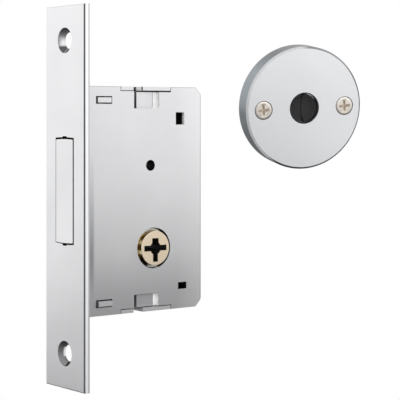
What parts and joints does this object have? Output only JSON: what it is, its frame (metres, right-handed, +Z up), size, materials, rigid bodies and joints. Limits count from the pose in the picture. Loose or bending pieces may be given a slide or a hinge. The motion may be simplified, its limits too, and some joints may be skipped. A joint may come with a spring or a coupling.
{
  "type": "auxiliary door lock",
  "caption": "Flat mortise case on a long faceplate, bolt drawn in flush, brass cross-key rotor low in the side, and a loose round rose with a black split key shutter.",
  "frame": {"origin": "on the back face of the faceplate, which seats in the door's recess, midway between its two fixing screw holes", "axes": "+X into the door, from the faceplate to the rear of the case; +Y to the side of the case away from the key; +Z up"},
  "size_m": [0.1174, 0.0244, 0.1192],
  "materials": {
    "faceplate": "satin nickel",
    "front_bracket": "zinc-plated sheet",
    "case_cover": "zinc-plated sheet",
    "case_tray": "zinc-plated sheet",
    "guide_post": "turned steel",
    "bolt_head": "nickel plated steel",
    "bolt_tail": "zinc-plated steel",
    "bolt_rivets": "steel",
    "detent_spring": "spring steel",
    "detent_rivet": "steel",
    "outer_housing": "machined brass",
    "inner_housing": "machined brass",
    "housing_studs": "steel",
    "driver_pins": "brass",
    "pin_springs": "spring steel",
    "chamber_caps": "brass",
    "key_pins": "brass",
    "key_rotor": "brass, satin face",
    "bolt_cam": "hardened steel",
    "cam_set_screw": "black steel",
    "rose_shell": "satin nickel",
    "key_hole_ring": "black",
    "shutter_carrier": "black",
    "rose_back_plate": "zinc-plated sheet",
    "left_shutter": "black",
    "right_shutter": "black",
    "shutter_pins": "steel",
    "shutter_springs": "spring steel",
    "rose_screws": "nickel plated steel"
  },
  "bodies": {
    "case": {"faceplate": "faceplate", "front_bracket": "front_bracket", "case_cover": "case_cover", "case_tray": "case_tray", "guide_post": "guide_post", "detent_spring": "detent_spring", "detent_rivet": "detent_rivet", "outer_housing": "outer_housing", "inner_housing": "inner_housing", "housing_studs": "housing_studs", "driver_pins": "driver_pins", "pin_springs": "pin_springs", "chamber_caps": "chamber_caps", "rose_shell": "rose_shell", "key_hole_ring": "key_hole_ring", "shutter_carrier": "shutter_carrier", "rose_back_plate": "rose_back_plate", "shutter_pins": "shutter_pins", "shutter_springs": "shutter_springs", "rose_screws": "rose_screws"},
    "bolt": {"bolt_head": "bolt_head", "bolt_tail": "bolt_tail", "bolt_rivets": "bolt_rivets"},
    "rotor": {"key_rotor": "key_rotor", "key_pins": "key_pins", "bolt_cam": "bolt_cam", "cam_set_screw": "cam_set_screw"},
    "left_leaf": {"left_shutter": "left_shutter"},
    "right_leaf": {"right_shutter": "right_shutter"}
  },
  "joints": [
    {"name": "bolt_slide", "type": "slide", "parent": "case", "child": "bolt", "axis": [-1, 0, 0], "range_m": [0, 0.014], "deforming": ["detent_spring"]},
    {"name": "key_turn", "type": "hinge", "parent": "case", "child": "rotor", "pos_m": [0.0272, 0, -0.01694], "axis": [0, -1, 0], "range_deg": [0, 80]},
    {"name": "left_shutter_hinge", "type": "hinge", "parent": "case", "child": "left_leaf", "pos_m": [0.08738, -0.00139, 0.02794], "axis": [-0.0991, -0.1165, 0.9882], "range_deg": [0, 75], "stiffness_Nm_per_rad": 0.00005, "springref_deg": -17.19},
    {"name": "right_shutter_hinge", "type": "hinge", "parent": "case", "child": "right_leaf", "pos_m": [0.09964, -0.00566, 0.02867], "axis": [0.0991, 0.1165, -0.9882], "range_deg": [0, 75], "stiffness_Nm_per_rad": 0.00005, "springref_deg": -17.19}
  ],
  "couplings": [
    {"joint": "key_turn", "follows": "bolt_slide", "rad_per_m": 99.733}
  ]
}
